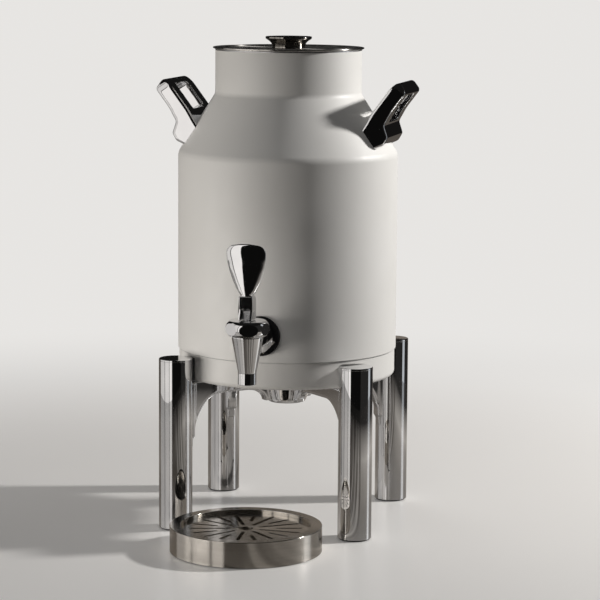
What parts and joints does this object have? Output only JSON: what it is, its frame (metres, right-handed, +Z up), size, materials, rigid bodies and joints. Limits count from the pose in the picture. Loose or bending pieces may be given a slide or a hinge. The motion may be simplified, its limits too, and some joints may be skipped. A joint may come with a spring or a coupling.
{
  "type": "hot drink urn",
  "caption": "Churn-shaped insulated hot drink urn with loop handles, a lift-off lid and a lever tap, on a chrome post stand with a loose drip tray.",
  "frame": {"origin": "on the table, under the middle of the box round urn, stand and tray", "axes": "+Z up, -Y the way the tap points, +X towards the right handle seen from the tap's side"},
  "size_m": [0.2586, 0.355, 0.498],
  "materials": {
    "white_coating": "matte powder coating, warm white",
    "chrome": "polished chrome",
    "stainless": "satin stainless steel",
    "brushed_stainless": "brushed stainless steel, lines running round",
    "black_rubber": "matte black rubber",
    "silicone": "translucent grey silicone",
    "dark_plastic": "matte black nylon",
    "insulation_foam": "moulded foam"
  },
  "bodies": {
    "stand": {"post_front_left": "chrome", "post_front_right": "chrome", "post_back_left": "chrome", "post_back_right": "chrome", "cap_front_left": "chrome", "cap_front_right": "chrome", "cap_back_left": "chrome", "cap_back_right": "chrome", "foot_front_left": "dark_plastic", "foot_front_right": "dark_plastic", "foot_back_left": "dark_plastic", "foot_back_right": "dark_plastic", "pad_front_left": "dark_plastic", "pad_front_right": "dark_plastic", "pad_back_left": "dark_plastic", "pad_back_right": "dark_plastic", "cross_frame": "chrome", "frame_pins": "stainless", "hub_cap": "chrome"},
    "vessel": {"outer_shell": "white_coating", "base_pan": "white_coating", "seam_gasket": "silicone", "inner_tank": "stainless", "insulation": "insulation_foam", "handle_left": "chrome", "handle_right": "chrome", "handle_screws_left": "stainless", "handle_screws_right": "stainless", "tap_gasket": "black_rubber", "tap_nut": "chrome", "tap_shank": "stainless", "wall_spacer": "stainless", "tank_washer": "black_rubber", "lock_nut": "stainless", "tap_body": "chrome", "tap_bonnet": "chrome", "valve_spring": "stainless"},
    "stem": {"valve_stem": "stainless", "valve_cup": "silicone", "lever_pin": "stainless"},
    "lever": {"tap_lever": "chrome"},
    "lid": {"lid_top": "brushed_stainless", "lid_liner": "brushed_stainless", "lid_seal": "silicone", "lid_knob": "brushed_stainless", "knob_screw": "stainless"},
    "tray": {"tray_pan": "brushed_stainless", "tray_feet": "black_rubber"},
    "grille": {"tray_grille": "brushed_stainless"}
  },
  "joints": [
    {"name": "vessel_lift", "type": "slide", "parent": "stand", "child": "vessel", "axis": [0, 0, 1], "range_m": [0, 0.15]},
    {"name": "lid_lift", "type": "slide", "parent": "vessel", "child": "lid", "axis": [0, 0, 1], "range_m": [0, 0.12]},
    {"name": "stem_lift", "type": "slide", "parent": "vessel", "child": "stem", "axis": [0, 0, 1], "range_m": [0, 0.0035], "deforming": ["valve_spring"]},
    {"name": "lever_tilt", "type": "hinge", "parent": "stem", "child": "lever", "pos_m": [0, -0.0995, 0.23585], "axis": [1, 0, 0], "range_deg": [0, 27], "stiffness_Nm_per_rad": 0.3, "springref_deg": -22.92},
    {"name": "tray_slide", "type": "slide", "parent": "stand", "child": "tray", "axis": [0, -1, 0], "range_m": [0, 0.12]},
    {"name": "grille_lift", "type": "slide", "parent": "tray", "child": "grille", "axis": [0, 0, 1], "range_m": [0, 0.08]}
  ],
  "couplings": [
    {"joint": "stem_lift", "follows": "lever_tilt", "m_per_rad": 0.0074272}
  ]
}
